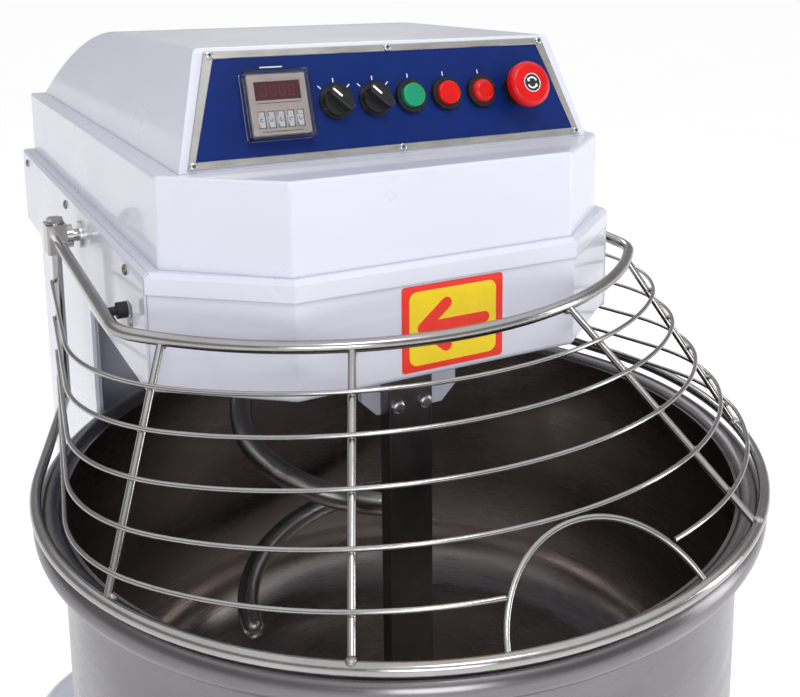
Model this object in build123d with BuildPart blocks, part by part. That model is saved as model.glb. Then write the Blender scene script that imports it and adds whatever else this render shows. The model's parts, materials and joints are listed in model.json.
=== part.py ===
from build123d import *
from math import acos, atan2, cos, hypot, radians, sin, sqrt, tan
import os

os.makedirs("parts", exist_ok=True)

# Spiral dough mixer with a rotating bowl, in millimetres.
# The origin is on the floor, under the middle of the machine: X to its left and right,
# -Y towards the operator, Z up.

# Bowl
bowl_y = -160.0
bowl_rim_z = 845.0
bowl_outer_r = 305.0
bead_r = 11.5
bowl_wall_r = 284.0
bowl_sheet = 3.0
bowl_floor_z = 552.0
bowl_corner_r = 60.0
hump_r = 70.0
hump_top_r = 34.0
hump_height = 25.0

# Base and column
base_half_width = 300.0
base_front_y = -430.0
base_back_y = 150.0
base_corner_r = 95.0
base_top_z = 530.0
base_plate_z = 45.0
base_plate_thickness = 8.0
base_floor_z = base_plate_z + base_plate_thickness
cover_sheet = 3.0
rear_sheet = 2.5
gland_x = 120.0
gland_z = 150.0
side_screw_z = 1024.0
side_screw_y = (427.0, 162.0, -105.0)
screw_hole_r = 2.6
switch_y = -112.0
switch_z = 984.0
switch_length = 18.0
switch_height = 30.0
plunger_r = 3.0
roller_r = 4.5
roller_width = 8.0
column_half_width = 217.5
column_front_y = 62.0
column_back_y = 354.0
side_plate = 4.0
inner_half_width = column_half_width - side_plate - 0.2
recess_y = 154.0

# Head
head_bottom_z = 941.0
deck_bottom_z = 1019.0
deck_top_z = 1036.0
deck_plate = 6.0
head_back_y = 466.0
skirt_front_y = -238.5
skirt_front_half = 126.0
chamfer_back_y = -163.0
housing_half_width = 205.0
housing_front_half = 125.0
housing_front_y = -231.0
housing_chamfer_y = -160.0
housing_back_y = 457.0
housing_top_z = 1108.0
housing_sheet = 2.5

# Hood and the control panel on its front face
hood_front_y = -166.0
hood_top_front_y = -135.0
hood_top_z = 1199.0
hood_flat_back_y = 120.0
hood_half_width = 188.0
hood_top_half_width = 164.0
hood_sheet = 2.0
hood_back_height = 3.0
panel_plane = Plane(
    origin=(0, hood_front_y, housing_top_z),
    x_dir=(1, 0, 0),
    z_dir=(0, housing_top_z - hood_top_z, hood_top_front_y - hood_front_y),
)
panel_bottom_half = 181.0
panel_top_half = 156.5
panel_low = 2.0
panel_high = 93.0
panel_border = 6.0
panel_thickness = 1.2
bezel_thickness = 2.0
control_v = 47.0
timer_u = -104.0
selector_u = (-53.0, -18.0)
selector_rest_angle = 135.0
start_u = 15.0
stop_u = 49.0
lamp_u = 84.0
emergency_u = 122.0
control_bore_r = 11.2
face_height = panel_thickness + 0.1
timer_face = 48.0
timer_body_side = 45.0
timer_cover_size = 55.0
collar_r = 14.5
stem_r = 6.0
barrel_length = 32.0
head_seat = 12.0
label_width = 92.0
label_height = 70.0
label_x = 7.5
label_z = 982.0

# Guard
pivot_y = 85.0
pivot_z = 1010.0
arm_x = 241.0
guard_tilt = 3.0
top_tube_r = 5.0
top_arc_r = 310.0
top_front_y = -283.0
ring_tube_r = 4.5
ring_r = 302.0
ring_z = 852.0
rib_r = 3.0
wire_r = 1.75
wire_shares = (0.145, 0.29, 0.46, 0.64, 0.82)
rib_angles = (33.0, 67.0)
rib_top_x = (95.0, 214.0)
bend_r = 40.0
wire_bend_r = 165.0
wire_end_x = arm_x + ring_tube_r + wire_r + 0.05
wire_shoulder_x = 268.0
wire_spread = 32.0
wire_standoff = 8.2
arch_half_width = 79.0
arch_r = 2.2
pivot_block = (18.0, 26.0, 28.0)
bushing_r = 8.5
pin_r = 6.0
stop_y = -128.0

# Hook, breaker bar and drives
hook_y = -3.0
hook_r = 90.0
hook_rod_r = 11.0
hook_pitch = 208.0
hook_bottom_z = 604.0
hook_top_z = 851.0
hook_bottom_angle = 180.0
hub_bottom_z = 866.0
hub_top_z = 904.0
hook_shaft_r = 22.5
hook_hub_r = 33.0
running_clearance = 0.05
stem_bore_r = stem_r + running_clearance
bar_width = 42.0
bar_thickness = 18.0
bar_bottom_z = 597.0
bar_back_y = bowl_y
bracket_offset_x = 8.0
bracket_width = 92.0
bracket_bottom_z = 880.0
bracket_plate = 8.0
bar_bolt_x = 13.0
bar_bolt_z = 893.0
head_motor_y = 250.0
hook_pulley_r = 120.0
hook_motor_pulley_r = 42.0
head_belt_z = 1066.0
base_motor_y = 245.0
bowl_pulley_r = 140.0
bowl_motor_pulley_r = 38.0
base_belt_z = 120.0
bowl_shaft_r = 25.0
belt_width = 34.0
belt_thickness = 8.0
pulley_width = 40.0
motor_shaft_r = 12.0
motor_body_top = deck_top_z - deck_plate - 0.1
base_motor_low = base_belt_z + 40
switch_face_x = -(column_half_width - 6)


def save(part, label):
    """Names a finished piece and writes it as a STEP file."""
    part.label = label
    export_step(part, f"parts/{label}.step")


def head_outline(half_width, front_half, front_y, chamfer_y, back_y):
    """Corner points of the head in plan, with its two chamfered front corners."""
    return [
        (-half_width, back_y),
        (-half_width, chamfer_y),
        (-front_half, front_y),
        (front_half, front_y),
        (half_width, chamfer_y),
        (half_width, back_y),
    ]


def panel_outline(inset):
    """Corner points of the tapered control panel, drawn in from its edge by the inset."""
    return [
        (-panel_bottom_half + 1.2 * inset, panel_low + inset),
        (panel_bottom_half - 1.2 * inset, panel_low + inset),
        (panel_top_half - 1.1 * inset, panel_high - inset),
        (-panel_top_half + 1.1 * inset, panel_high - inset),
    ]


# ---------------------------------------------------------------- base and column

with BuildPart() as base_plate:
    with BuildSketch(Plane.XY.offset(base_plate_z)):
        with Locations((0, (base_front_y + base_back_y) / 2)):
            RectangleRounded(2 * base_half_width - 8, base_back_y - base_front_y - 8, base_corner_r - 4)
        with Locations((0, (column_back_y + base_back_y) / 2 - 10)):
            Rectangle(2 * column_half_width, column_back_y - base_back_y + 20)
    extrude(amount=base_plate_thickness)
save(base_plate.part, "base_plate")

foot_places = [(-235, -330), (235, -330), (-190, 310), (190, 310)]
with BuildPart() as levelling_feet:
    for foot_x, foot_y in foot_places:
        with BuildSketch(Plane.XY):
            with Locations((foot_x, foot_y)):
                Circle(32)
        extrude(amount=14)
        with BuildSketch(Plane.XY.offset(14)):
            with Locations((foot_x, foot_y)):
                Circle(22)
        extrude(amount=5)
        with BuildSketch(Plane.XY.offset(19)):
            with Locations((foot_x, foot_y)):
                Circle(8)
        extrude(amount=base_plate_z - 19)
        with BuildSketch(Plane.XY.offset(31)):
            with Locations((foot_x, foot_y)):
                RegularPolygon(radius=15, side_count=6)
        extrude(amount=base_plate_z - 31)
save(levelling_feet.part, "levelling_feet")

with BuildPart() as base_housing:
    with BuildSketch(Plane.XY.offset(base_floor_z)):
        with Locations((0, (base_front_y + base_back_y) / 2)):
            RectangleRounded(2 * base_half_width, base_back_y - base_front_y, base_corner_r)
    extrude(amount=base_top_z - base_floor_z)
    fillet(base_housing.faces().sort_by(Axis.Z)[-1].edges(), radius=22)
    offset(amount=-cover_sheet, openings=base_housing.faces().sort_by(Axis.Z)[0])
    with BuildSketch(Plane.XY.offset(base_top_z - 2 * cover_sheet)):
        with Locations((0, bowl_y)):
            Circle(bowl_shaft_r + 6)
    extrude(amount=3 * cover_sheet, mode=Mode.SUBTRACT)
    with BuildSketch(Plane.XZ.offset(-base_back_y - 1)):
        with Locations((0, (base_floor_z + 480) / 2)):
            Rectangle(2 * inner_half_width - 30, 480 - base_floor_z)
    extrude(amount=cover_sheet + 3, mode=Mode.SUBTRACT)
save(base_housing.part, "base_housing")


def side_plate_blank(side):
    """One side plate: column side and head side in one L-shaped sheet, with its openings."""
    inner_x = column_half_width - side_plate
    with BuildPart() as plate:
        with BuildSketch(Plane.YZ.offset(inner_x if side > 0 else -column_half_width)):
            with BuildLine():
                Polyline(
                    (column_front_y, base_top_z),
                    (column_front_y, head_bottom_z),
                    (chamfer_back_y, head_bottom_z),
                    (chamfer_back_y, deck_top_z),
                    (head_back_y, deck_top_z),
                    (head_back_y, head_bottom_z + 6),
                    (column_back_y, head_bottom_z + 6),
                    (column_back_y, base_floor_z),
                    (base_back_y + 0.5, base_floor_z),
                    (base_back_y + 0.5, base_top_z),
                    close=True,
                )
            make_face()
        extrude(amount=side_plate)
        outer_face = plate.faces().sort_by(Axis.X)[-1 if side > 0 else 0]
        top_edge = outer_face.edges().filter_by(Axis.Y).sort_by(Axis.Z)[-1]
        chamfer(top_edge, length=3)
        with BuildSketch(Plane.YZ.offset(side * (column_half_width - side_plate / 2))):
            with Locations((pivot_y, pivot_z)):
                Circle(bushing_r)
        extrude(amount=side_plate, both=True, mode=Mode.SUBTRACT)
        with BuildSketch(Plane.YZ.offset(side * (column_half_width - side_plate / 2))):
            with Locations(*[(y, side_screw_z) for y in side_screw_y]):
                Circle(screw_hole_r)
            if side < 0:
                with Locations((switch_y, switch_z)):
                    RectangleRounded(switch_length + 0.6, switch_height + 0.6, 2.5)
        extrude(amount=side_plate, both=True, mode=Mode.SUBTRACT)
    return plate.part


save(side_plate_blank(-1), "side_plate_left")
save(side_plate_blank(1), "side_plate_right")

with BuildPart() as column_front_panel:
    with BuildSketch(Plane.XY.offset(base_top_z + 0.2)):
        with BuildLine():
            Polyline(
                (-inner_half_width, column_front_y + 4),
                (-inner_half_width, recess_y),
                (inner_half_width, recess_y),
                (inner_half_width, column_front_y + 4),
                (inner_half_width - cover_sheet, column_front_y + 4),
                (inner_half_width - cover_sheet, recess_y - cover_sheet),
                (-inner_half_width + cover_sheet, recess_y - cover_sheet),
                (-inner_half_width + cover_sheet, column_front_y + 4),
                close=True,
            )
        make_face()
    extrude(amount=head_bottom_z - base_top_z - 0.4)
save(column_front_panel.part, "column_front_panel")

with BuildPart() as rear_cover:
    with BuildSketch(Plane.YZ):
        with BuildLine():
            Polyline(
                (column_back_y, base_floor_z + 4),
                (column_back_y - rear_sheet, base_floor_z + 4),
                (column_back_y - rear_sheet, head_bottom_z + 6 + rear_sheet),
                (head_back_y - rear_sheet, head_bottom_z + 6 + rear_sheet),
                (head_back_y - rear_sheet, deck_bottom_z - 0.5),
                (head_back_y, deck_bottom_z - 0.5),
                (head_back_y, head_bottom_z + 6),
                (column_back_y, head_bottom_z + 6),
                close=True,
            )
        make_face()
    extrude(amount=inner_half_width, both=True)
    with BuildSketch(Plane.XZ.offset(-column_back_y - 1)):
        with Locations((0, 250), (0, 760)):
            with GridLocations(150, 22, 2, 7):
                SlotOverall(120, 7)
    extrude(amount=rear_sheet + 2, mode=Mode.SUBTRACT)
    rear_screw_places = [(x, z) for x in (-195, 195) for z in (90, 350, 620, 915)]
    with BuildSketch(Plane.XZ.offset(-column_back_y - 1)):
        with Locations(*rear_screw_places):
            Circle(screw_hole_r)
    extrude(amount=rear_sheet + 2, mode=Mode.SUBTRACT)
    with BuildSketch(Plane.XZ.offset(-column_back_y - 1)):
        with Locations((gland_x, gland_z)):
            Circle(12.5)
    extrude(amount=rear_sheet + 2, mode=Mode.SUBTRACT)
save(rear_cover.part, "rear_cover")


def screw(place, outward, head_r, head_height, shank_r, shank_length):
    """A dome-head screw on a surface point, with its shank going in along -outward."""
    plane = Plane(origin=place, z_dir=outward)
    with BuildPart(plane) as one:
        Cylinder(shank_r, shank_length, align=(Align.CENTER, Align.CENTER, Align.MAX))
        Cylinder(head_r, head_height, align=(Align.CENTER, Align.CENTER, Align.MIN))
        top = one.faces().sort_by(Axis(place, outward))[-1]
        fillet(top.edges(), radius=head_height * 0.8)
    return one.part


with BuildPart() as cover_screws:
    for side in (-1, 1):
        for screw_y in side_screw_y:
            add(screw((side * column_half_width, screw_y, side_screw_z), (side, 0, 0), 4.5, 2.4, 2.5, 3.9))
    for screw_x, screw_z in rear_screw_places:
        add(screw((screw_x, column_back_y, screw_z), (0, 1, 0), 5, 2.6, 2.5, 6))
save(cover_screws.part, "cover_screws")

with BuildPart() as cable_gland:
    with BuildSketch(Plane.XZ.offset(-column_back_y)):
        with Locations((gland_x, gland_z)):
            RegularPolygon(radius=18, side_count=6)
    extrude(amount=-8)
    with BuildSketch(Plane.XZ.offset(-column_back_y - 8)):
        with Locations((gland_x, gland_z)):
            Circle(13)
    extrude(amount=-16)
    fillet(cable_gland.faces().sort_by(Axis.Y)[-1].edges(), radius=3)
    with BuildSketch(Plane.XZ.offset(-column_back_y)):
        with Locations((gland_x, gland_z)):
            Circle(12.3)
    extrude(amount=14)
    with BuildSketch(Plane.XZ.offset(-column_back_y + 20)):
        with Locations((gland_x, gland_z)):
            Circle(6)
    extrude(amount=-60, mode=Mode.SUBTRACT)
save(cable_gland.part, "cable_gland")

# ---------------------------------------------------------------- head

with BuildPart() as belly_pan:
    pan_half = column_half_width - 1.8
    pan_points = [
        (-inner_half_width, recess_y - 4),
        (-inner_half_width, chamfer_back_y - 0.3),
        (-pan_half, chamfer_back_y - 0.3),
        (-skirt_front_half + 0.8, skirt_front_y + 1.8),
        (skirt_front_half - 0.8, skirt_front_y + 1.8),
        (pan_half, chamfer_back_y - 0.3),
        (inner_half_width, chamfer_back_y - 0.3),
        (inner_half_width, recess_y - 4),
    ]
    with BuildSketch(Plane.XY.offset(head_bottom_z)):
        with BuildLine():
            Polyline(*pan_points, close=True)
        make_face()
    extrude(amount=deck_bottom_z - head_bottom_z - 0.4)
    fillet(belly_pan.faces().sort_by(Axis.Z)[0].edges().sort_by(Axis.Y)[:3], radius=5)
    with BuildSketch(Plane.XY.offset(head_bottom_z + cover_sheet)):
        with BuildLine():
            Polyline(*pan_points, close=True)
        make_face()
        offset(amount=-cover_sheet, kind=Kind.INTERSECTION, mode=Mode.REPLACE)
    extrude(amount=deck_bottom_z - head_bottom_z, mode=Mode.SUBTRACT)
    with BuildSketch(Plane.XY.offset(head_bottom_z + 9)):
        with Locations((0, 10)):
            Rectangle(2 * column_half_width, 290)
    extrude(amount=deck_bottom_z - head_bottom_z, mode=Mode.SUBTRACT)
    with BuildSketch(Plane.XY.offset(head_bottom_z - 1)):
        with Locations((0, hook_y)):
            Circle(hook_shaft_r + 6)
    extrude(amount=20, mode=Mode.SUBTRACT)
save(belly_pan.part, "belly_pan")

with BuildPart() as head_deck:
    deck_points = [
        (-inner_half_width, head_back_y - 0.2),
        (-inner_half_width, chamfer_back_y - 0.3),
        (-column_half_width, chamfer_back_y - 0.3),
        (-skirt_front_half, skirt_front_y),
        (skirt_front_half, skirt_front_y),
        (column_half_width, chamfer_back_y - 0.3),
        (inner_half_width, chamfer_back_y - 0.3),
        (inner_half_width, head_back_y - 0.2),
    ]
    with BuildSketch(Plane.XY.offset(deck_bottom_z)):
        with BuildLine():
            Polyline(*deck_points, close=True)
        make_face()
    extrude(amount=deck_top_z - deck_bottom_z)
    chamfer(head_deck.faces().sort_by(Axis.Z)[-1].edges().sort_by(Axis.Y)[:3], length=4)
    with BuildSketch(Plane.XY.offset(deck_bottom_z)):
        with BuildLine():
            Polyline(
                *head_outline(
                    inner_half_width - 8,
                    skirt_front_half - 8,
                    skirt_front_y + 10,
                    chamfer_back_y,
                    head_back_y - 10,
                ),
                close=True,
            )
        make_face()
    extrude(amount=deck_top_z - deck_bottom_z - deck_plate, mode=Mode.SUBTRACT)
    with BuildSketch(Plane.XY.offset(deck_bottom_z)):
        with Locations((0, hook_y)):
            Circle(hook_shaft_r + 6)
        with Locations((0, head_motor_y)):
            Circle(30)
    extrude(amount=deck_top_z - deck_bottom_z, mode=Mode.SUBTRACT)
    with BuildSketch(Plane.YZ):
        with Locations(*[(y, side_screw_z) for y in side_screw_y]):
            Circle(2.8)
    extrude(amount=2 * column_half_width, both=True, mode=Mode.SUBTRACT)
save(head_deck.part, "head_deck")

with BuildPart() as upper_housing:
    housing_points = head_outline(
        housing_half_width, housing_front_half, housing_front_y, housing_chamfer_y, housing_back_y
    )
    with BuildSketch(Plane.XY.offset(deck_top_z)):
        with BuildLine():
            Polyline(*housing_points, close=True)
        make_face()
    extrude(amount=housing_top_z - deck_top_z)
    fillet(upper_housing.edges().filter_by(Axis.Z), radius=5)
    fillet(upper_housing.faces().sort_by(Axis.Z)[-1].edges(), radius=3)
    offset(amount=-housing_sheet, openings=upper_housing.faces().sort_by(Axis.Z)[0])
    with BuildSketch(Plane.XY.offset(housing_top_z - 2 * housing_sheet)):
        with Locations((0, (hood_front_y + housing_back_y) / 2)):
            Rectangle(2 * hood_half_width - 40, housing_back_y - hood_front_y - 50)
    extrude(amount=3 * housing_sheet, mode=Mode.SUBTRACT)
save(upper_housing.part, "upper_housing")

hood_back_y = housing_back_y - 5
hood_lean = (hood_half_width - hood_top_half_width) / (hood_top_z - housing_top_z)
with BuildPart() as hood:
    with BuildSketch(Plane.YZ):
        with BuildLine():
            front = Line((hood_front_y, housing_top_z), (hood_top_front_y, hood_top_z))
            top = Line(front @ 1, (hood_flat_back_y, hood_top_z))
            back = TangentArc(top @ 1, (hood_back_y, housing_top_z + hood_back_height), tangent=top % 1)
            Polyline(back @ 1, (hood_back_y, housing_top_z), front @ 0)
        make_face()
    extrude(amount=hood_half_width, both=True)
    for side in (-1, 1):
        lean_plane = Plane(origin=(side * hood_half_width, 0, housing_top_z), z_dir=(side, 0, hood_lean))
        split(bisect_by=lean_plane, keep=Keep.BOTTOM)
    fillet(hood.faces().sort_by(Axis.Z)[-1].edges(), radius=5)
    offset(amount=-hood_sheet, openings=hood.faces().sort_by(Axis.Z)[0])
    with BuildSketch(panel_plane):
        with Locations(*[(u, control_v) for u in (*selector_u, start_u, stop_u, lamp_u, emergency_u)]):
            Circle(control_bore_r + 0.3)
        with Locations((timer_u, control_v)):
            Rectangle(timer_body_side + 1.2, timer_body_side + 1.2)
    extrude(amount=8, both=True, mode=Mode.SUBTRACT)
save(hood.part, "hood")

# ---------------------------------------------------------------- control panel

screw_places = [
    (sign * (half - 0.55 * panel_border), v)
    for sign in (-1, 1)
    for half, v in (
        (panel_bottom_half - 1.5, panel_low + panel_border / 2),
        (panel_top_half - 0.5, panel_high - panel_border / 2),
    )
]
screw_places += [(0, panel_low + panel_border / 2), (0, panel_high - panel_border / 2)]

with BuildPart() as panel_plate:
    with BuildSketch(panel_plane.offset(0.1)):
        with BuildLine():
            Polyline(*panel_outline(panel_border + 0.1), close=True)
        make_face()
        with Locations(*[(u, control_v) for u in (*selector_u, start_u, stop_u, lamp_u, emergency_u)]):
            Circle(control_bore_r + 0.3, mode=Mode.SUBTRACT)
        with Locations((timer_u, control_v)):
            Rectangle(timer_body_side + 1.2, timer_body_side + 1.2, mode=Mode.SUBTRACT)
    extrude(amount=panel_thickness)
save(panel_plate.part, "panel_plate")

with BuildPart() as panel_bezel:
    with BuildSketch(panel_plane.offset(0.1)):
        with BuildLine():
            Polyline(*panel_outline(0), close=True)
        make_face()
        with BuildLine():
            Polyline(*panel_outline(panel_border), close=True)
        make_face(mode=Mode.SUBTRACT)
        with Locations(*screw_places):
            Circle(1.8, mode=Mode.SUBTRACT)
    extrude(amount=bezel_thickness)
    chamfer(panel_bezel.faces().sort_by(Axis(panel_plane.origin, panel_plane.z_dir))[-1].edges(), length=0.5)
save(panel_bezel.part, "panel_bezel")

with BuildPart() as panel_screws:
    for u, v in screw_places:
        surface = panel_plane.offset(bezel_thickness + 0.1)
        spot = surface.from_local_coords(Vector(u, v, 0))
        add(screw(spot, surface.z_dir, 3.4, 2.0, 1.7, bezel_thickness))
save(panel_screws.part, "panel_screws")


def panel_spot(u, height):
    """A plane parallel to the panel, at a control's place and height above the hood face."""
    return Plane(
        origin=panel_plane.from_local_coords(Vector(u, control_v, height)),
        x_dir=panel_plane.x_dir,
        z_dir=panel_plane.z_dir,
    )


with BuildPart() as timer_body:
    with BuildSketch(panel_spot(timer_u, face_height)):
        RectangleRounded(timer_face, timer_face, 1.5)
    extrude(amount=7)
    with BuildSketch(panel_spot(timer_u, face_height)):
        Rectangle(timer_body_side, timer_body_side)
    extrude(amount=-70)
    with BuildSketch(panel_spot(timer_u, face_height + 7)):
        with Locations((0, 11)):
            Rectangle(38, 15)
        with Locations((0, -12)):
            with GridLocations(8, 1, 5, 1):
                Rectangle(6.4, 14)
    extrude(amount=-2, mode=Mode.SUBTRACT)
save(timer_body.part, "timer_body")

with BuildPart() as timer_display:
    with BuildSketch(panel_spot(timer_u, face_height + 5.1)):
        with Locations((0, 11)):
            Rectangle(37.6, 14.6)
    extrude(amount=1.5)
save(timer_display.part, "timer_display")

with BuildPart() as timer_cover:
    with BuildSketch(panel_spot(timer_u, face_height + 0.1)):
        RectangleRounded(timer_cover_size, timer_cover_size, 3)
        Rectangle(timer_cover_size - 3, timer_cover_size - 3, mode=Mode.SUBTRACT)
    extrude(amount=9.4)
    with BuildSketch(panel_spot(timer_u, face_height + 9.5)):
        RectangleRounded(timer_cover_size, timer_cover_size, 3)
    extrude(amount=1.5)
save(timer_cover.part, "timer_cover")

with BuildPart() as selector_collars:
    for u in selector_u:
        with BuildSketch(panel_spot(u, face_height)):
            Circle(collar_r)
        extrude(amount=3)
        with BuildSketch(panel_spot(u, face_height)):
            Circle(control_bore_r)
        extrude(amount=-barrel_length)
        with BuildSketch(panel_spot(u, face_height + 4)):
            Circle(stem_bore_r)
        extrude(amount=-26, mode=Mode.SUBTRACT)
save(selector_collars.part, "selector_collars")


def selector_knob(u):
    """A rotary selector: round base, raised grip bar and the stem that turns in its collar."""
    with BuildPart() as knob:
        with BuildSketch(panel_spot(u, face_height + 3.3)):
            Circle(12.6)
        extrude(amount=4.5)
        with BuildSketch(panel_spot(u, face_height + 7.8)):
            SlotOverall(24.6, 8.5, rotation=selector_rest_angle)
        extrude(amount=9)
        fillet(knob.faces().sort_by(Axis(panel_plane.origin, panel_plane.z_dir))[-1].edges(), radius=1.2)
        with BuildSketch(panel_spot(u, face_height + 3.3)):
            Circle(stem_r)
        extrude(amount=-20)
    return knob.part


save(selector_knob(selector_u[0]), "selector_knob_1")
save(selector_knob(selector_u[1]), "selector_knob_2")

with BuildPart() as button_collars:
    for u in (start_u, stop_u, lamp_u):
        with BuildSketch(panel_spot(u, face_height)):
            Circle(collar_r)
        extrude(amount=4.5, taper=8)
        with BuildSketch(panel_spot(u, face_height)):
            Circle(control_bore_r)
        extrude(amount=-barrel_length)
        with BuildSketch(panel_spot(u, face_height + 5)):
            Circle(10.6)
        extrude(amount=-8, mode=Mode.SUBTRACT)
        with BuildSketch(panel_spot(u, face_height)):
            Circle(stem_bore_r)
        extrude(amount=-24, mode=Mode.SUBTRACT)
save(button_collars.part, "button_collars")


def push_button(u):
    """A flat push button with its stem."""
    with BuildPart() as button:
        with BuildSketch(panel_spot(u, face_height + 2)):
            Circle(10.2)
        extrude(amount=7)
        fillet(button.faces().sort_by(Axis(panel_plane.origin, panel_plane.z_dir))[-1].edges(), radius=1.5)
        with BuildSketch(panel_spot(u, face_height + 2)):
            Circle(stem_r)
        extrude(amount=-18)
    return button.part


save(push_button(start_u), "start_button")
save(push_button(stop_u), "stop_button")

with BuildPart() as power_lamp:
    with BuildSketch(panel_spot(lamp_u, face_height - 2.8)):
        Circle(10.4)
    extrude(amount=12)
    fillet(power_lamp.faces().sort_by(Axis(panel_plane.origin, panel_plane.z_dir))[-1].edges(), radius=5)
save(power_lamp.part, "power_lamp")

with BuildPart() as emergency_collar:
    with BuildSketch(panel_spot(emergency_u, face_height)):
        Circle(15)
    extrude(amount=4)
    with BuildSketch(panel_spot(emergency_u, face_height)):
        Circle(control_bore_r)
    extrude(amount=-barrel_length)
    with BuildSketch(panel_spot(emergency_u, face_height + 5)):
        Circle(stem_bore_r)
    extrude(amount=-32, mode=Mode.SUBTRACT)
save(emergency_collar.part, "emergency_collar")

with BuildPart() as emergency_stem:
    with BuildSketch(panel_spot(emergency_u, face_height - 18)):
        Circle(stem_r)
    extrude(amount=18 + head_seat)
    with BuildSketch(panel_spot(emergency_u, face_height + head_seat)):
        Circle(4)
    extrude(amount=6)
save(emergency_stem.part, "emergency_stem")

with BuildPart() as emergency_head:
    with BuildSketch(panel_spot(emergency_u, face_height + head_seat + 0.3)):
        Circle(10)
    extrude(amount=4)
    with BuildSketch(panel_spot(emergency_u, face_height + head_seat + 4.3)):
        Circle(20)
    extrude(amount=9)
    crown_axis = Axis(panel_plane.origin, panel_plane.z_dir)
    fillet(emergency_head.faces().sort_by(crown_axis)[-1].edges(), radius=5)
    with BuildSketch(panel_spot(emergency_u, face_height + head_seat + 0.3)):
        Circle(4 + running_clearance)
    extrude(amount=6.2, mode=Mode.SUBTRACT)
save(emergency_head.part, "emergency_head")

with BuildPart() as direction_label:
    with BuildSketch(Plane.XZ.offset(-(skirt_front_y + 1.8) + 0.1)):
        with Locations((label_x, label_z)):
            RectangleRounded(label_width, label_height, 3)
    extrude(amount=0.4)
save(direction_label.part, "direction_label")

# ---------------------------------------------------------------- breaker bar and hook

with BuildPart() as breaker_bracket:
    with BuildSketch(Plane.XZ.offset(-bar_back_y - bracket_plate)):
        with BuildLine():
            left = bracket_offset_x - bracket_width / 2
            right = bracket_offset_x + bracket_width / 2
            Polyline(
                (left, head_bottom_z - 0.1),
                (right, head_bottom_z - 0.1),
                (right, bracket_bottom_z + 14),
                (right - 14, bracket_bottom_z),
                (left + 14, bracket_bottom_z),
                (left, bracket_bottom_z + 14),
                close=True,
            )
        make_face()
        with Locations((-bar_bolt_x, bar_bolt_z), (bar_bolt_x, bar_bolt_z)):
            Circle(4.1, mode=Mode.SUBTRACT)
    extrude(amount=bracket_plate)
    with BuildSketch(Plane.XY.offset(head_bottom_z - 0.1)):
        with Locations((bracket_offset_x, bar_back_y + 35)):
            Rectangle(bracket_width, 70)
    extrude(amount=-bracket_plate)
save(breaker_bracket.part, "breaker_bracket")

with BuildPart() as breaker_bar:
    with BuildSketch(Plane.XY.offset(bar_bottom_z)):
        with Locations((0, bar_back_y - bar_thickness / 2 - 0.1)):
            Rectangle(bar_width, bar_thickness)
    extrude(amount=head_bottom_z - 2 - bar_bottom_z)
    fillet(breaker_bar.edges().filter_by(Axis.Z), radius=2)
    fillet(breaker_bar.faces().sort_by(Axis.Z)[0].edges(), radius=1.9)
    with BuildSketch(Plane.XZ.offset(-bar_back_y)):
        with Locations((-bar_bolt_x, bar_bolt_z), (bar_bolt_x, bar_bolt_z)):
            Circle(4.1)
    extrude(amount=bar_thickness + 2, mode=Mode.SUBTRACT)
save(breaker_bar.part, "breaker_bar")

with BuildPart() as breaker_bolts:
    bolt_face_y = bar_back_y - bar_thickness - 0.2
    for bolt_x in (-bar_bolt_x, bar_bolt_x):
        bolt_length = bar_thickness + bracket_plate + 8
        add(screw((bolt_x, bolt_face_y, bar_bolt_z), (0, -1, 0), 6.4, 4.5, 4.0, bolt_length))
save(breaker_bolts.part, "breaker_bolts")

# The spiral is drawn from +X and turned to its own starting angle at the end.
with BuildPart() as spiral_hook:
    with BuildLine(Plane(origin=(0, hook_y, hook_bottom_z))) as turn:
        Helix(pitch=hook_pitch, height=hook_top_z - hook_bottom_z, radius=hook_r, lefthand=True)
    with BuildSketch(Plane(origin=turn.line @ 0, z_dir=turn.line % 0)):
        Circle(hook_rod_r)
    sweep(path=turn.line, is_frenet=True)
    with Locations(turn.line @ 0, turn.line @ 1):
        Sphere(hook_rod_r + 0.05)
    shoulder = turn.line @ 1
    arm_end = Vector(0, hook_y, (hub_bottom_z + hub_top_z) / 2)
    arm_run = arm_end - shoulder
    with BuildSketch(Plane(origin=shoulder, z_dir=arm_run)):
        Circle(hook_rod_r)
    extrude(amount=arm_run.length)
    with BuildSketch(Plane.XY.offset(hub_bottom_z)):
        with Locations((0, hook_y)):
            Circle(hook_hub_r)
    extrude(amount=hub_top_z - hub_bottom_z)
hook_axis = Axis((0, hook_y, 0), (0, 0, 1))
save(spiral_hook.part.rotate(hook_axis, hook_bottom_angle), "spiral_hook")

bearing_low_z = head_bottom_z + cover_sheet + 0.1
bearing_high_z = deck_top_z - deck_plate - 0.1
with BuildPart() as hook_shaft:
    with BuildSketch(Plane.XY.offset(hub_top_z)):
        with Locations((0, hook_y)):
            Circle(hook_shaft_r)
    extrude(amount=head_belt_z + pulley_width / 2 + 8 - hub_top_z)
    with BuildSketch(Plane.XY.offset(hub_top_z)):
        with Locations((0, hook_y)):
            Circle(hook_shaft_r + 4)
    extrude(amount=18)
save(hook_shaft.part, "hook_shaft")

with BuildPart() as hook_bearing:
    with BuildSketch(Plane.XY.offset(bearing_low_z)):
        with Locations((0, hook_y)):
            Circle(75)
    extrude(amount=12)
    with BuildSketch(Plane.XY.offset(bearing_low_z)):
        with Locations((0, hook_y)):
            Circle(48)
    extrude(amount=bearing_high_z - bearing_low_z)
    with BuildSketch(Plane.XY.offset(bearing_low_z)):
        with Locations((0, hook_y)):
            Circle(hook_shaft_r + running_clearance)
    extrude(amount=bearing_high_z - bearing_low_z, mode=Mode.SUBTRACT)
save(hook_bearing.part, "hook_bearing")


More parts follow.
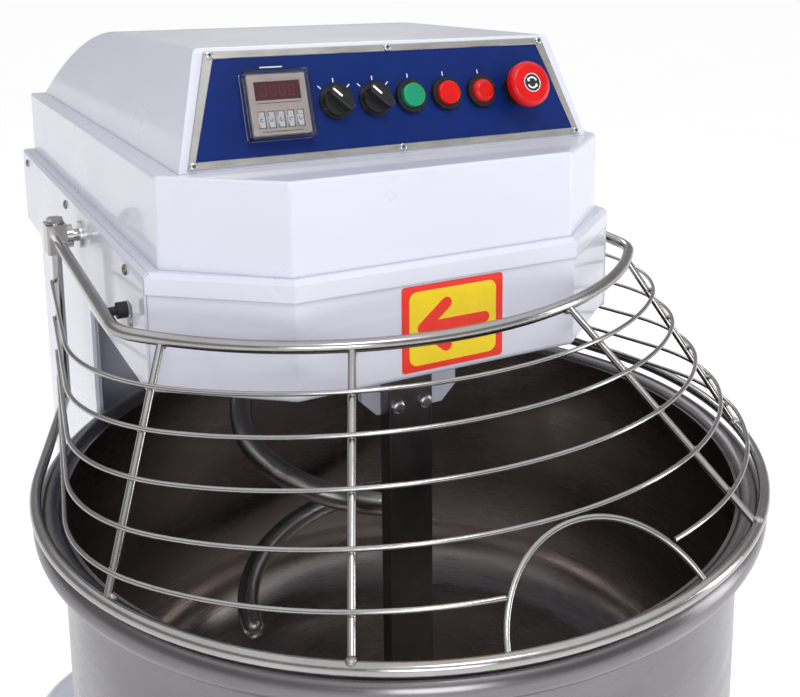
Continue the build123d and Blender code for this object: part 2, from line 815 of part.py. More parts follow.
def pulley(centre_y, centre_z, rim_r, shaft_r):
    """A grooved pulley for a band belt, bored for its shaft, with a lightened web."""
    with BuildPart() as wheel:
        with BuildSketch(Plane.XY.offset(centre_z - pulley_width / 2)):
            with Locations((0, centre_y)):
                Circle(rim_r)
        extrude(amount=pulley_width)
        with BuildSketch(Plane.XY.offset(centre_z - belt_width / 2)):
            with Locations((0, centre_y)):
                Circle(rim_r + 1)
                Circle(rim_r - belt_thickness, mode=Mode.SUBTRACT)
        extrude(amount=belt_width, mode=Mode.SUBTRACT)
        with BuildSketch(Plane.XY.offset(centre_z - pulley_width / 2)):
            with Locations((0, centre_y)):
                Circle(shaft_r)
        extrude(amount=pulley_width, mode=Mode.SUBTRACT)
        if rim_r > 100:
            with BuildSketch(Plane.XY.offset(centre_z - pulley_width / 2)):
                with Locations((0, centre_y)):
                    with PolarLocations((rim_r + shaft_r) / 2, 6):
                        Circle((rim_r - shaft_r) / 5.5)
            extrude(amount=pulley_width, mode=Mode.SUBTRACT)
    return wheel.part


def motor_pulley(centre_y, centre_z, rim_r, shaft_end_z):
    """A small grooved pulley in one piece with the motor shaft that carries it."""
    shaft_start_z = centre_z + (24 if shaft_end_z < centre_z else -24)
    with BuildPart() as wheel:
        add(pulley(centre_y, centre_z, rim_r, motor_shaft_r - 0.5))
        with BuildSketch(Plane.XY.offset(shaft_start_z)):
            with Locations((0, centre_y)):
                Circle(motor_shaft_r)
        extrude(amount=shaft_end_z - shaft_start_z)
    return wheel.part


def belt(back_y, back_r, front_y, front_r, centre_z):
    """A flat band round two pulleys, lying in their grooves with a little clearance."""
    inner_gap = 0.4
    with BuildPart() as band:
        with BuildSketch(Plane.XY.offset(centre_z - belt_width / 2 + 0.5)):
            for margin, fill in ((belt_thickness, Mode.ADD), (0, Mode.SUBTRACT)):
                with BuildSketch(mode=Mode.PRIVATE) as loop:
                    with Locations((0, front_y)):
                        Circle(front_r - belt_thickness + inner_gap + margin)
                    with Locations((0, back_y)):
                        Circle(back_r - belt_thickness + inner_gap + margin)
                    make_hull()
                add(loop.sketch, mode=fill)
        extrude(amount=belt_width - 1)
    return band.part


save(pulley(hook_y, head_belt_z, hook_pulley_r, hook_shaft_r), "hook_pulley")
save(motor_pulley(head_motor_y, head_belt_z, hook_motor_pulley_r, motor_body_top - 29), "hook_motor_pulley")
save(belt(head_motor_y, hook_motor_pulley_r, hook_y, hook_pulley_r, head_belt_z), "hook_belt")


def motor(centre_y, body_top_z, body_length, body_r, up):
    """A finned foot-less motor standing on end, with its stator, end shields and terminal box."""
    with BuildPart() as machine:
        with BuildSketch(Plane.XY.offset(body_top_z - body_length)):
            with Locations((0, centre_y)):
                Circle(body_r)
        extrude(amount=body_length)
        with BuildSketch(Plane.XY.offset(body_top_z - body_length + 35)):
            with Locations((0, centre_y)):
                with PolarLocations(body_r + 3, 28):
                    Rectangle(14, 3)
        extrude(amount=body_length - 75)
        with BuildSketch(Plane.XY.offset(body_top_z - body_length / 2 - 45)):
            with Locations((-body_r - 14, centre_y)):
                Rectangle(40, 70)
        extrude(amount=90)
        flange_z = body_top_z if up else body_top_z - body_length
        with BuildSketch(Plane.XY.offset(flange_z)):
            with Locations((0, centre_y)):
                Circle(body_r + 14)
        extrude(amount=-12 if up else 12)
        fillet(machine.edges().filter_by(GeomType.CIRCLE).group_by(Axis.Z)[-1 if not up else 0], radius=2)
        with BuildSketch(Plane.XY.offset(flange_z)):
            with Locations((0, centre_y)):
                Circle(12.2)
        extrude(amount=-30 if up else 30, mode=Mode.SUBTRACT)
    return machine.part


save(motor(head_motor_y, motor_body_top, 290, 84, True), "hook_motor")

# ---------------------------------------------------------------- bowl and its drive

bowl_axis = Axis((0, bowl_y, 0), (0, 0, 1))
inner_r = bowl_wall_r - bowl_sheet
floor_top_z = bowl_floor_z + bowl_sheet
with BuildPart() as bowl:
    with BuildSketch(Plane.XZ.offset(-bowl_y)):
        with BuildLine():
            start = Line((0, floor_top_z + hump_height), (hump_top_r, floor_top_z + hump_height))
            cone = Line(start @ 1, (hump_r, floor_top_z))
            floor = Line(cone @ 1, (inner_r - bowl_corner_r, floor_top_z))
            knuckle = TangentArc(floor @ 1, (inner_r, floor_top_z + bowl_corner_r), tangent=(1, 0))
            wall = Line(knuckle @ 1, (inner_r, bowl_rim_z - 6))
            lip = Line(wall @ 1, (bowl_wall_r, bowl_rim_z - 6))
            outside = Line(lip @ 1, (bowl_wall_r, floor_top_z + bowl_corner_r))
            outer_knuckle = TangentArc(
                outside @ 1, (inner_r - bowl_corner_r, bowl_floor_z), tangent=(0, -1)
            )
            under = Line(outer_knuckle @ 1, (hump_r - 1, bowl_floor_z))
            under_cone = Line(under @ 1, (hump_top_r - 1, bowl_floor_z + hump_height))
            Polyline(under_cone @ 1, (0, bowl_floor_z + hump_height), start @ 0)
        make_face()
        with Locations((bowl_outer_r - bead_r, bowl_rim_z - bead_r)):
            Circle(bead_r)
    revolve(axis=bowl_axis)
save(bowl.part, "bowl")

with BuildPart() as bowl_shaft:
    with BuildSketch(Plane.XZ.offset(-bowl_y)):
        with BuildLine():
            Polyline(
                (0, bowl_floor_z + hump_height - 0.1),
                (hump_top_r - 3, bowl_floor_z + hump_height - 0.1),
                (hump_r - 4, bowl_floor_z - 0.1),
                (95, bowl_floor_z - 0.1),
                (95, bowl_floor_z - 12),
                (bowl_shaft_r, bowl_floor_z - 12),
                (bowl_shaft_r, base_belt_z - pulley_width / 2 - 6),
                (0, base_belt_z - pulley_width / 2 - 6),
                close=True,
            )
        make_face()
    revolve(axis=bowl_axis)
save(bowl_shaft.part, "bowl_shaft")

housing_top = base_top_z - cover_sheet - 0.1
with BuildPart() as bowl_bearing:
    with BuildSketch(Plane.XZ.offset(-bowl_y)):
        with BuildLine():
            Polyline(
                (bowl_shaft_r + running_clearance, housing_top),
                (110, housing_top),
                (110, housing_top - 12),
                (58, housing_top - 12),
                (52, housing_top - 130),
                (bowl_shaft_r + running_clearance, housing_top - 130),
                close=True,
            )
        make_face()
    revolve(axis=bowl_axis)
    with BuildSketch(Plane.XY.offset(housing_top - 80)):
        with Locations((0, bowl_y)):
            with PolarLocations(78, 6):
                Rectangle(60, 8)
    extrude(amount=69)
    with BuildSketch(Plane.XY.offset(housing_top - 200)):
        with Locations((0, bowl_y)):
            Circle(bowl_shaft_r + running_clearance)
    extrude(amount=220, mode=Mode.SUBTRACT)
save(bowl_bearing.part, "bowl_bearing")

save(pulley(bowl_y, base_belt_z, bowl_pulley_r, bowl_shaft_r), "bowl_pulley")
save(motor_pulley(base_motor_y, base_belt_z, bowl_motor_pulley_r, base_motor_low + 29), "bowl_motor_pulley")
save(belt(base_motor_y, bowl_motor_pulley_r, bowl_y, bowl_pulley_r, base_belt_z), "bowl_belt")
save(motor(base_motor_y, base_motor_low + 240, 240, 74, False), "bowl_motor")

# ---------------------------------------------------------------- guard

# The cage is described by one share, 0 at the top tube and 1 at the rim ring.
tilt_drop = tan(radians(guard_tilt))
top_front_z = pivot_z - (pivot_y - top_front_y) * tilt_drop
top_centre_y = top_front_y + top_arc_r
ring_front_y = bowl_y - ring_r


def on_top_tube(x):
    """The point of the top tube's front arc at a given x."""
    y = top_centre_y - sqrt(top_arc_r**2 - x**2)
    return Vector(x, y, pivot_z - (pivot_y - y) * tilt_drop)


def on_ring(angle):
    """The point of the rim ring at an angle from the front, counted towards +X."""
    turn_angle = radians(angle)
    return Vector(ring_r * sin(turn_angle), bowl_y - ring_r * cos(turn_angle), ring_z)


def at_front(share):
    """The foremost point of the cage at a share of its slope."""
    y = top_front_y + share * (ring_front_y - top_front_y)
    z = top_front_z + share * (ring_z - top_front_z)
    return Vector(0, y, z)


def sloping_plane(end_z, front):
    """The plane of one bent bar: level along X, through its two ends and its front point."""
    rise = (front.Z - end_z) / (front.Y - pivot_y)
    return Plane(origin=(0, pivot_y, end_z), x_dir=(1, 0, 0), z_dir=(0, -rise, 1))


def bent_bar(plane, front_v, radius, end_x, bar_r, shoulder_x=None, corner_r=bend_r):
    """A round bar bent to a U: straight sides from its two ends and one arc across the front.

    With no shoulder the sides meet the arc on a tangent. Otherwise they run to the arc's
    points at the shoulder's width, where the bar is bent to the corner radius.
    """
    centre_v = front_v + radius
    if shoulder_x is None:
        touch = atan2(-centre_v, end_x) - acos(radius / hypot(end_x, centre_v))
        meet = (radius * cos(touch), centre_v + radius * sin(touch))
    else:
        meet = (shoulder_x, centre_v - sqrt(radius**2 - shoulder_x**2))
    with BuildPart() as bar:
        with BuildLine(plane) as path:
            Line((-end_x, 0), (-meet[0], meet[1]))
            ThreePointArc((-meet[0], meet[1]), (0, front_v), meet)
            Line(meet, (end_x, 0))
            if shoulder_x is not None:
                corners = [v for v in path.vertices() if abs(v.Y - pivot_y) > 1]
                fillet(corners, radius=corner_r)
        route = path.wire()
        with BuildSketch(Plane(origin=route @ 0, z_dir=route % 0)):
            Circle(bar_r)
        sweep(path=route)
    return bar.part


def straight_bar(start, end, bar_r):
    """A straight round bar between two points."""
    run = end - start
    with BuildPart() as bar:
        with BuildSketch(Plane(origin=start, z_dir=run)):
            Circle(bar_r)
        extrude(amount=run.length)
    return bar.part


with BuildPart() as guard_pivots:
    for side in (-1, 1):
        centre = (side * arm_x, pivot_y, pivot_z)
        with Locations(centre):
            Box(*pivot_block)
        fillet(guard_pivots.edges().filter_by(Axis.Z).group_by(Axis.X)[0 if side < 0 else -1], radius=2)
        inner_face = side * (arm_x - pivot_block[0] / 2)
        with BuildSketch(Plane.YZ.offset(inner_face)):
            with Locations((pivot_y, pivot_z)):
                Circle(pin_r)
        extrude(amount=-side * (abs(inner_face) - 203))
        with BuildSketch(Plane.YZ.offset(inner_face)):
            with Locations((pivot_y, pivot_z)):
                Circle(11)
        extrude(amount=-side * 6)
        with BuildSketch(Plane.XY.offset(pivot_z + pivot_block[2] / 2)):
            with Locations((side * arm_x, pivot_y)):
                RegularPolygon(radius=7.5, side_count=6)
        extrude(amount=5.5)
        with BuildSketch(Plane.XY.offset(pivot_z + pivot_block[2] / 2)):
            with Locations((side * arm_x, pivot_y)):
                Circle(8.5)
        extrude(amount=1.4)
save(guard_pivots.part, "guard_pivots")

with BuildPart() as guard_bushings:
    for side in (-1, 1):
        with BuildSketch(Plane.YZ.offset(side * (column_half_width + 0.1))):
            with Locations((pivot_y, pivot_z)):
                Circle(13)
                Circle(pin_r + running_clearance, mode=Mode.SUBTRACT)
        extrude(amount=side * 3)
        with BuildSketch(Plane.YZ.offset(side * (column_half_width + 0.1))):
            with Locations((pivot_y, pivot_z)):
                Circle(bushing_r - 0.05)
                Circle(pin_r + running_clearance, mode=Mode.SUBTRACT)
        extrude(amount=-side * 9)
save(guard_bushings.part, "guard_bushings")

top_plane = sloping_plane(pivot_z, at_front(0))
top_front_v = -hypot(top_front_y - pivot_y, top_front_z - pivot_z)
with BuildPart() as guard_top_tube:
    add(bent_bar(top_plane, top_front_v, top_arc_r, arm_x, top_tube_r, arm_x))
    for side in (-1, 1):
        with Locations((side * arm_x, pivot_y, pivot_z)):
            Box(*pivot_block, mode=Mode.SUBTRACT)
save(guard_top_tube.part, "guard_top_tube")

ring_plane = Plane(origin=(0, pivot_y, ring_z), x_dir=(1, 0, 0), z_dir=(0, 0, 1))
with BuildPart() as guard_ring:
    add(bent_bar(ring_plane, ring_front_y - pivot_y, ring_r, arm_x, ring_tube_r))
    for side in (-1, 1):
        corner = Vector(side * arm_x, pivot_y, ring_z)
        with Locations(corner):
            Sphere(ring_tube_r + 0.02)
        add(straight_bar(corner, Vector(side * arm_x, pivot_y, pivot_z - pivot_block[2] / 2), ring_tube_r))
save(guard_ring.part, "guard_ring")

rib_lines = [
    (on_top_tube(side * top_x), on_ring(side * angle))
    for side in (-1, 1)
    for top_x, angle in zip(rib_top_x, rib_angles)
]
with BuildPart() as guard_ribs:
    for rib_top, rib_foot in rib_lines:
        add(straight_bar(rib_top, rib_foot, rib_r))
    add(guard_top_tube.part, mode=Mode.SUBTRACT)
    add(guard_ring.part, mode=Mode.SUBTRACT)
save(guard_ribs.part, "guard_ribs")


def guard_wire(share):
    """One thin wire, lying outside the ribs and ending on the outside of the end bars."""
    end_z = ring_z + (pivot_z - ring_z) * (1 - share) ** 2
    front = at_front(share)
    plane = sloping_plane(end_z, front)
    rib_top, rib_foot = rib_lines[-1]
    normal = plane.z_dir
    along = (plane.origin - rib_top).dot(normal) / (rib_foot - rib_top).dot(normal)
    crossing = plane.to_local_coords(rib_top + (rib_foot - rib_top) * along)
    front_v = plane.to_local_coords(front).Y
    sagitta = crossing.Y - front_v
    radius = (crossing.X**2 + sagitta**2) / (2 * sagitta)
    shoulder_x = wire_shoulder_x + wire_spread * share
    return bent_bar(
        plane, front_v - wire_standoff, radius + wire_standoff, wire_end_x, wire_r, shoulder_x, wire_bend_r
    )


arch_top = at_front(wire_shares[3] + 0.022) + Vector(0, -wire_standoff + 1, 0)
arch_foot_y = bowl_y - sqrt(ring_r**2 - arch_half_width**2)
with BuildPart() as guard_arch:
    with BuildLine() as arch_path:
        ThreePointArc(
            (-arch_half_width, arch_foot_y, ring_z), arch_top, (arch_half_width, arch_foot_y, ring_z)
        )
    with BuildSketch(Plane(origin=arch_path.line @ 0, z_dir=arch_path.line % 0)):
        Circle(arch_r)
    sweep(path=arch_path.line)
    add(guard_ring.part, mode=Mode.SUBTRACT)
save(guard_arch.part, "guard_arch")

with BuildPart() as guard_wires_upper:
    for share in wire_shares[:2]:
        add(guard_wire(share))
save(guard_wires_upper.part, "guard_wires_upper")

with BuildPart() as guard_wires_middle:
    for share in wire_shares[2:4]:
        add(guard_wire(share))
save(guard_wires_middle.part, "guard_wires_middle")

with BuildPart() as guard_wire_lowest:
    add(guard_wire(wire_shares[4]))
    with Locations(at_front(wire_shares[4])):
        Box(2 * arch_half_width - 22, 60, 60, mode=Mode.SUBTRACT)
    add(guard_arch.part, mode=Mode.SUBTRACT)
save(guard_wire_lowest.part, "guard_wire_lowest")

stop_z = pivot_z - (pivot_y - stop_y) * tilt_drop
with BuildPart() as guard_stop_bolts:
    for side in (-1, 1):
        with BuildSketch(Plane.YZ.offset(side * (arm_x - top_tube_r + 1))):
            with Locations((stop_y, stop_z)):
                Circle(3.5)
        extrude(amount=-side * 8)
        with BuildSketch(Plane.YZ.offset(side * (arm_x - top_tube_r - 5))):
            with Locations((stop_y, stop_z)):
                Circle(6.5)
        extrude(amount=-side * 8)
    add(guard_top_tube.part, mode=Mode.SUBTRACT)
save(guard_stop_bolts.part, "guard_stop_bolts")

# ---------------------------------------------------------------- guard switch

with BuildPart() as guard_switch:
    with BuildSketch(Plane.YZ.offset(switch_face_x)):
        with Locations((switch_y, switch_z)):
            RectangleRounded(switch_length, switch_height, 2)
    extrude(amount=26)
    with BuildSketch(Plane.YZ.offset(switch_face_x)):
        with Locations((switch_y, switch_z)):
            Circle(plunger_r + running_clearance)
    extrude(amount=20, mode=Mode.SUBTRACT)
save(guard_switch.part, "guard_switch")

with BuildPart() as switch_plunger:
    with BuildSketch(Plane.YZ.offset(switch_face_x + 12)):
        with Locations((switch_y, switch_z)):
            Circle(plunger_r)
    extrude(amount=-22)
    with BuildSketch(Plane.XY.offset(switch_z - roller_width / 2)):
        with Locations((switch_face_x - 10, switch_y)):
            Circle(roller_r)
    extrude(amount=roller_width)
save(switch_plunger.part, "switch_plunger")
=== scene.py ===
import json
from math import atan2, cos, pi, radians, sin

import bmesh
import bpy
from mathutils import Euler, Matrix, Vector, noise
from mathutils.bvhtree import BVHTree


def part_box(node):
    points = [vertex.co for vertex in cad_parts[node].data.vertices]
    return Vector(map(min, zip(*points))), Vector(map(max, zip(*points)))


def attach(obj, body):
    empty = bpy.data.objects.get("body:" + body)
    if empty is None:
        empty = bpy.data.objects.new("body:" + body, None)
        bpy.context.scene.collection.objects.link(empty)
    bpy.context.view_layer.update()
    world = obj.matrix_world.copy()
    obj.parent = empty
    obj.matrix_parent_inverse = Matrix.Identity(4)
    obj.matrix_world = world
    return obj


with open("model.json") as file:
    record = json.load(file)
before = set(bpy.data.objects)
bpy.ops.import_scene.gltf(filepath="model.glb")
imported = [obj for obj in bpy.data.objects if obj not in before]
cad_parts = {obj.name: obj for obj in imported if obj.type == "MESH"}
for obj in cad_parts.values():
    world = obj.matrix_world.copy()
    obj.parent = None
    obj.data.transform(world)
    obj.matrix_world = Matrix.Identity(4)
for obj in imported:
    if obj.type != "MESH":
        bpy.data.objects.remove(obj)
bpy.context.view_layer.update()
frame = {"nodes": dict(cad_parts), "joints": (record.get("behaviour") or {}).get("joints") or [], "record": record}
NODES = frame["nodes"]
MM = 0.001

# ------------------------------------------------------------------ sizes of the small details

# Direction label: its yellow field and its arrow, as shares of the red plate
LABEL_FIELD = 0.86
ARROW_TIP = -0.30
ARROW_TAIL = 0.31
ARROW_BARB = (-0.07, 0.25)
ARROW_LINE = 0.105
LABEL_CORNER = 0.075
LABEL_FIELD_HEIGHT = 0.12 * MM
ARROW_HEIGHTS = (0.20 * MM, 0.22 * MM, 0.24 * MM)

# Timer: unlit figures, and the thumbwheels with a key above and below each
INK = 0.06 * MM
FIGURE_COUNT = 4
FIGURE_PITCH = 7.6 * MM
FIGURE_BAR_HALF = 1.5 * MM
FIGURE_BAR_LEVEL = 4.2 * MM
FIGURE_POST_SIDE = 2.1 * MM
FIGURE_POST_LOW = 0.7 * MM
FIGURE_POST_HIGH = 3.6 * MM
FIGURE_LINE = 0.8 * MM
WHEEL_COUNT = 5
WHEEL_PITCH = 8 * MM
WHEEL_LEVEL = -12 * MM
WHEEL_SIZE = (5.6 * MM, 7.0 * MM, 0.8 * MM)
KEY_LEVELS = (-16.6 * MM, -7.4 * MM)
KEY_SIZE = (4.6 * MM, 3.0 * MM, 0.7 * MM)
MOULDED_EDGE = 0.4 * MM
WHEEL_SUNK = -0.5 * MM
KEY_PROUD = 0.3 * MM
WHEEL_ROOT = -2 * MM
WHEEL_FIGURE_R = (0.9 * MM, 1.5 * MM)
WHEEL_FIGURE_HEIGHT = 0.08 * MM
WHEEL_FIGURE_SWEEP = 1.55 * pi
TRIM_LINES = ((1.2 * MM, 0.76), (-21.4 * MM, 0.7))
TRIM_WIDTH = 0.5 * MM

# Panel print: ticks round the controls and a dash over the timer
PRINT_HEIGHT = 0.05 * MM
TICK_INNER_R = 16.5 * MM
TICK_OUTER_R = 19.5 * MM
TICK_WIDTH = 0.9 * MM
TIMER_DASH_RISE = 31.5 * MM
TIMER_DASH_HALF = 9 * MM
TIMER_DASH_WIDTH = 1.0 * MM

# Selector pointers, along the grip bar as it stands at rest
POINTER_ANGLE = radians(135)
POINTER_START = 2.2 * MM
POINTER_END = 10.2 * MM
POINTER_WIDTH = 1.9 * MM
POINTER_LOW = -0.6 * MM
POINTER_HIGH = 0.12 * MM

# Emergency head: disc, ring and two turning arrows
STOP_DISC_R = 8.6 * MM
STOP_DISC_LOW = -0.2 * MM
STOP_DISC_HIGH = 0.10 * MM
STOP_RING = (7.6 * MM, 8.3 * MM)
STOP_ARROW_BAND = (3.9 * MM, 5.3 * MM)
STOP_ARROW_START = 0.35
STOP_ARROW_SWEEP = 0.66 * pi
STOP_ARROW_LEAD = 0.5
STOP_ARROW_TIP_R = 4.6 * MM
STOP_ARROW_BARB_R = (2.7 * MM, 6.5 * MM)
STOP_MARK_LOW = 0.05 * MM
STOP_MARK_HIGH = 0.16 * MM

# Screw recesses
HEAD_DEPTH = 0.4 * MM
RECESS_DEPTH = 0.5 * MM
RECESS_LIFT = 0.06 * MM
RECESS_SLOT = 0.28
PANEL_RECESS_ARM = 1.5 * MM
COVER_RECESS_ARM = 2.0 * MM
REAR_SCREW_X = 0.2

# Weld beads
WIRE_WELD_R = 1.9 * MM
RIB_WELD_R = 3.4 * MM
WELD_SHAPE = (1.25, 1.05, 0.75)
WELD_SWELL = 0.22
RIB_CROSSING_REACH = 3.2 * MM
RING_CROSSING_REACH = 1.2 * MM
RIB_END_REACH = 0.6 * MM
END_WELDS_APART = 0.03

# Bowl: heights over which a painted highlight brightens its inner wall downwards, and how much
PAINTED_SHEEN_LOW = 0.60
PAINTED_SHEEN_HIGH = 0.68
PAINTED_SHEEN_GAIN = 2.5

# ------------------------------------------------------------------ places, read from the frame

joints = {joint["name"]: joint for joint in frame["joints"]}
panel_normal = -Vector(joints["start_press"]["axis"]).normalized()
panel_right = Vector((1, 0, 0))
panel_up = panel_normal.cross(panel_right)
bowl_low, bowl_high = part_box("bowl")
bowl_axis = (bowl_low + bowl_high) / 2
hook_low, hook_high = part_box("hook_shaft")
hook_axis = (hook_low + hook_high) / 2


def panel_extent(node):
    """A node's centre in the panel's plane, on its outermost face, and its two sizes there."""
    places = [vertex.co for vertex in NODES[node].data.vertices]
    across = [place.dot(panel_right) for place in places]
    along = [place.dot(panel_up) for place in places]
    outward = max(place.dot(panel_normal) for place in places)
    centre = (
        panel_right * (min(across) + max(across)) / 2
        + panel_up * (min(along) + max(along)) / 2
        + panel_normal * outward
    )
    return centre, max(across) - min(across), max(along) - min(along)


# ------------------------------------------------------------------ materials


class Surface:
    """A procedural material: object coordinates through noises to colour, roughness and bump."""

    def __init__(self, name, **constants):
        self.material = bpy.data.materials.new(name)
        self.material.use_nodes = True
        self.tree = self.material.node_tree
        self.shader = self.tree.nodes["Principled BSDF"]
        for socket, value in constants.items():
            self.shader.inputs[socket.replace("_", " ")].default_value = value
        self.place = self.add("ShaderNodeTexCoord").outputs["Object"]

    def add(self, kind, **settings):
        node = self.tree.nodes.new(kind)
        for key, value in settings.items():
            setattr(node, key, value)
        return node

    def link(self, start, end):
        self.tree.links.new(start, end)

    def math(self, operation, first, second=None):
        """One maths node; its inputs are sockets or numbers."""
        node = self.add("ShaderNodeMath", operation=operation)
        for socket, value in zip(node.inputs, (first, second)):
            if value is None:
                continue
            if isinstance(value, (int, float)):
                socket.default_value = value
            else:
                self.link(value, socket)
        return node.outputs[0]

    def scaled(self, factors):
        """Coordinates multiplied by a factor for each axis."""
        node = self.add("ShaderNodeVectorMath", operation="MULTIPLY")
        self.link(self.place, node.inputs[0])
        node.inputs[1].default_value = factors
        return node.outputs[0]

    def around(self, axis, factors):
        """Coordinates that run round a vertical axis: turn angle, radius and height.

        The angle is mirrored front to back, so that it has no seam.
        """
        shift = self.add("ShaderNodeVectorMath", operation="SUBTRACT")
        self.link(self.place, shift.inputs[0])
        shift.inputs[1].default_value = (axis.x, axis.y, 0)
        parts = self.add("ShaderNodeSeparateXYZ")
        self.link(shift.outputs[0], parts.inputs[0])
        x, y, z = parts.outputs
        squares = self.math("ADD", self.math("MULTIPLY", x, x), self.math("MULTIPLY", y, y))
        reach = self.math("SQRT", squares)
        angle = self.math("ARCTAN2", self.math("ABSOLUTE", y), x)
        joined = self.add("ShaderNodeCombineXYZ")
        for socket, value, factor in zip(joined.inputs, (angle, reach, z), factors):
            self.link(self.math("MULTIPLY", value, factor), socket)
        return joined.outputs[0], reach

    def noise(self, place, scale, detail=3.0, rough=0.55):
        node = self.add("ShaderNodeTexNoise")
        self.link(place, node.inputs["Vector"])
        node.inputs["Scale"].default_value = scale
        node.inputs["Detail"].default_value = detail
        node.inputs["Roughness"].default_value = rough
        return node.outputs["Fac"]

    def spread(self, value, low, high, start=0.3, stop=0.7):
        """A value between start and stop carried over to the range from low to high."""
        node = self.add("ShaderNodeMapRange")
        self.link(value, node.inputs["Value"])
        for name, number in zip(("From Min", "From Max", "To Min", "To Max"), (start, stop, low, high)):
            node.inputs[name].default_value = number
        return node.outputs["Result"]

    def ramp(self, value, stops):
        """A value turned into a colour through stops of position and colour."""
        node = self.add("ShaderNodeValToRGB")
        band = node.color_ramp
        for element, (position, _) in zip(band.elements, (stops[0], stops[-1])):
            element.position = position
        band.elements[0].color = (*stops[0][1], 1)
        band.elements[1].color = (*stops[-1][1], 1)
        for position, color in stops[1:-1]:
            band.elements.new(position).color = (*color, 1)
        self.link(value, node.inputs["Fac"])
        return node.outputs["Color"]

    def mix(self, share, first, second):
        """One colour passing into another."""
        node = self.add("ShaderNodeMix", data_type="RGBA")
        self.link(share, node.inputs["Factor"])
        self.link(first, node.inputs["A"])
        self.link(second, node.inputs["B"])
        return node.outputs["Result"]

    def colour(self, socket):
        self.link(socket, self.shader.inputs["Base Color"])

    def roughness(self, socket):
        self.link(socket, self.shader.inputs["Roughness"])

    def bump(self, *layers, eased=0.0):
        """Bumps laid over each other, each a height socket with its strength and depth.

        Edges can be eased first, over a small radius, so that they catch the light.
        """
        under = None
        if eased:
            corner = self.add("ShaderNodeBevel", samples=4)
            corner.inputs["Radius"].default_value = eased
            under = corner.outputs["Normal"]
        for height, strength, depth in layers:
            node = self.add("ShaderNodeBump")
            node.inputs["Strength"].default_value = strength
            node.inputs["Distance"].default_value = depth
            self.link(height, node.inputs["Height"])
            if under:
                self.link(under, node.inputs["Normal"])
            under = node.outputs["Normal"]
        self.link(under, self.shader.inputs["Normal"])


def shades(color, change):
    """A colour made darker and lighter by a share, as ramp stops with the plain one between."""
    dark = tuple(part * (1 - change) for part in color)
    light = tuple(min(1.0, part * (1 + change)) for part in color)
    return [(0.3, dark), (0.5, color), (0.7, light)]


def powder_coat(name, color, low, high, coat, change=0.035):
    """Baked powder paint: slight waviness, fine orange peel, soft dust and a clear gloss."""
    paint = Surface(name, Coat_Weight=coat, Coat_Roughness=0.06)
    paint.colour(paint.ramp(paint.noise(paint.place, 6.0, 4.0), shades(color, change)))
    haze = paint.noise(paint.place, 9.0, 5.0, 0.6)
    paint.roughness(paint.spread(haze, low, high))
    peel = paint.noise(paint.place, 380.0, 2.0)
    wave = paint.noise(paint.place, 14.0, 1.0)
    paint.bump((wave, 0.05, 0.0012), (peel, 0.07, 0.0002), eased=1.4 * MM)
    return paint.material


def plastic(name, color, low, high, grain=900.0, change=0.08, **constants):
    """Moulded plastic with a fine grain, handling marks and slightly uneven gloss."""
    resin = Surface(name, **constants)
    resin.colour(resin.ramp(resin.noise(resin.place, 60.0, 5.0), shades(color, change)))
    marks = resin.noise(resin.scaled((1, 1, 5)), 160.0, 5.0, 0.7)
    resin.roughness(resin.spread(marks, low, high))
    resin.bump((resin.noise(resin.place, grain, 2.0), 0.15, 0.0001))
    return resin.material


def bright_metal(name, color, low, high, stretch=(1, 1, 1), strength=0.08, change=0.1):
    """Steel with faint drawing lines along its least stretched axis and worn, uneven polish."""
    metal = Surface(name, Metallic=1.0)
    metal.colour(metal.ramp(metal.noise(metal.place, 18.0, 6.0, 0.6), shades(color, change)))
    lines = metal.noise(metal.scaled(stretch), 300.0, 5.0, 0.7)
    smears = metal.noise(metal.place, 35.0, 4.0)
    metal.roughness(metal.math("ADD", metal.spread(lines, low, high), metal.spread(smears, -0.03, 0.06)))
    metal.bump((lines, strength, 0.0002))
    return metal.material


def turned_metal(name, color, axis, low, high, inside=None, edge=0.0):
    """Spun sheet with polishing rings round its axis.

    With inside given, it is the colour within the radius edge, with a painted highlight that brightens it towards
    the floor.
    """
    metal = Surface(name, Metallic=1.0)
    rings, reach = metal.around(axis, (1.6, 420.0, 420.0))
    brushed = metal.noise(rings, 1.0, 6.0, 0.75)
    broad, _ = metal.around(axis, (1.2, 14.0, 14.0))
    clouds = metal.noise(broad, 1.0, 5.0, 0.6)
    outer = metal.ramp(clouds, shades(color, 0.12))
    if inside:
        parts = metal.add("ShaderNodeSeparateXYZ")
        metal.link(metal.place, parts.inputs[0])
        # painted highlight: the inner wall is coloured brighter towards the floor, in place of the light it
        # reflects there
        painted_sheen_tint = tuple(PAINTED_SHEEN_GAIN * part for part in inside)
        low_wall = metal.spread(parts.outputs["Z"], 1.0, 0.0, PAINTED_SHEEN_LOW, PAINTED_SHEEN_HIGH)
        wall_color = metal.ramp(clouds, shades(inside, 0.22))
        painted_sheen_color = metal.ramp(clouds, shades(painted_sheen_tint, 0.15))
        wall = metal.mix(low_wall, wall_color, painted_sheen_color)
        metal.colour(metal.mix(metal.spread(reach, 0.0, 1.0, edge - 0.001, edge), wall, outer))
    else:
        metal.colour(outer)
    smears = metal.noise(metal.place, 9.0, 5.0)
    metal.roughness(metal.math("ADD", metal.spread(brushed, low, high), metal.spread(smears, -0.04, 0.08)))
    metal.bump((brushed, 0.018, 0.0003))
    return metal.material


def cast_iron(name, color):
    """Machined and cast iron with a sandy skin."""
    iron = Surface(name, Metallic=0.7)
    iron.colour(iron.ramp(iron.noise(iron.place, 40.0, 8.0, 0.7), shades(color, 0.25)))
    iron.roughness(iron.spread(iron.noise(iron.place, 90.0, 4.0), 0.42, 0.68))
    iron.bump((iron.noise(iron.place, 600.0, 3.0), 0.4, 0.0003))
    return iron.material


